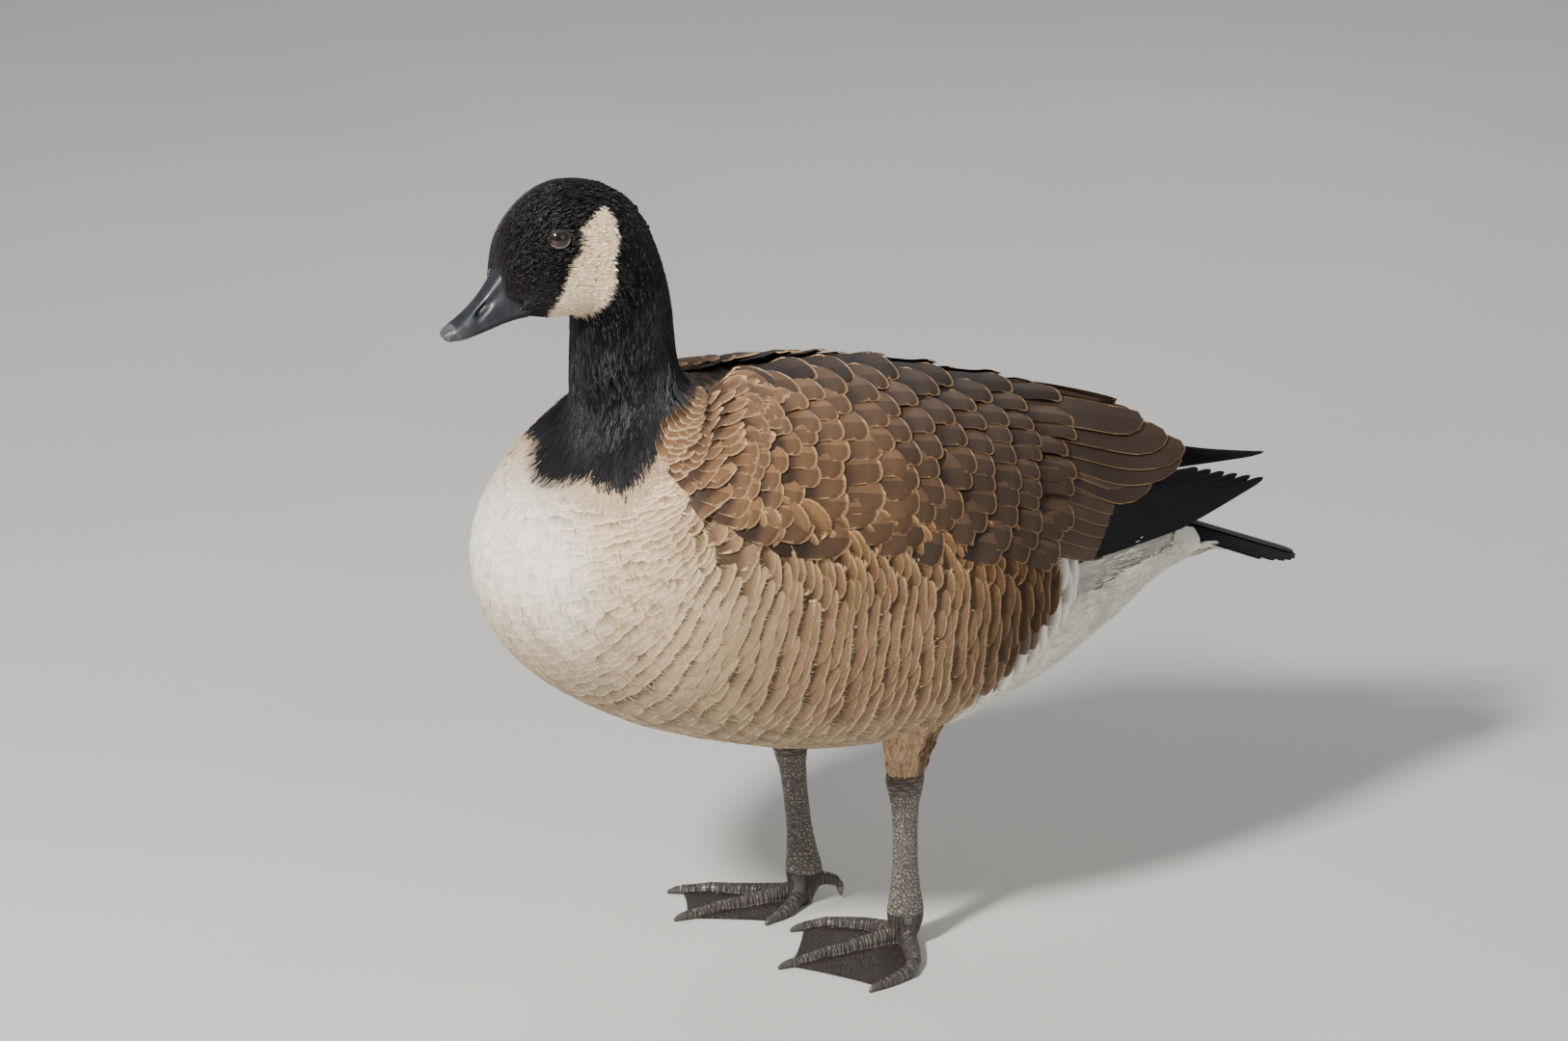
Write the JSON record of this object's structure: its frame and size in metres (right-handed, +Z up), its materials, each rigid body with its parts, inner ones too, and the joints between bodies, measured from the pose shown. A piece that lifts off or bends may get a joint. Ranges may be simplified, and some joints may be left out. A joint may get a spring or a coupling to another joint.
{
  "type": "canada goose",
  "caption": "Life-size standing goose with a raised neck, folded wings in tiers of feathers, short tail and webbed feet flat on the floor.",
  "frame": {"origin": "centre of the bounding box, at the soles on the floor", "axes": "+Z up, +Y from the bill to the tail, +X to the bird's left side"},
  "size_m": [0.217, 0.576, 0.4965],
  "materials": {
    "black_feather": "velvety black contour feathers",
    "pale_feather": "soft pale barred contour feathers",
    "brown_feather": "brown feathers with pale edges",
    "tail_feather": "smooth glossy black feathers",
    "bill_horn": "satin black horn",
    "eye": "wet dark brown",
    "leg_skin": "scaly dark grey skin",
    "claw_horn": "dull grey horn"
  },
  "bodies": {
    "root": {"head": "black_feather", "neck_upper": "black_feather", "neck_lower": "black_feather", "torso": "pale_feather", "thigh_left": "pale_feather", "thigh_right": "pale_feather", "wing_left": "brown_feather", "wing_right": "brown_feather", "tail": "tail_feather", "bill_upper": "bill_horn", "bill_lower": "bill_horn", "eye_left": "eye", "eye_right": "eye", "tarsus_left": "leg_skin", "tarsus_right": "leg_skin", "foot_left": "leg_skin", "foot_right": "leg_skin", "claw_inner_left": "claw_horn", "claw_middle_left": "claw_horn", "claw_outer_left": "claw_horn", "claw_hind_left": "claw_horn", "claw_inner_right": "claw_horn", "claw_middle_right": "claw_horn", "claw_outer_right": "claw_horn", "claw_hind_right": "claw_horn"}
  },
  "joints": []
}
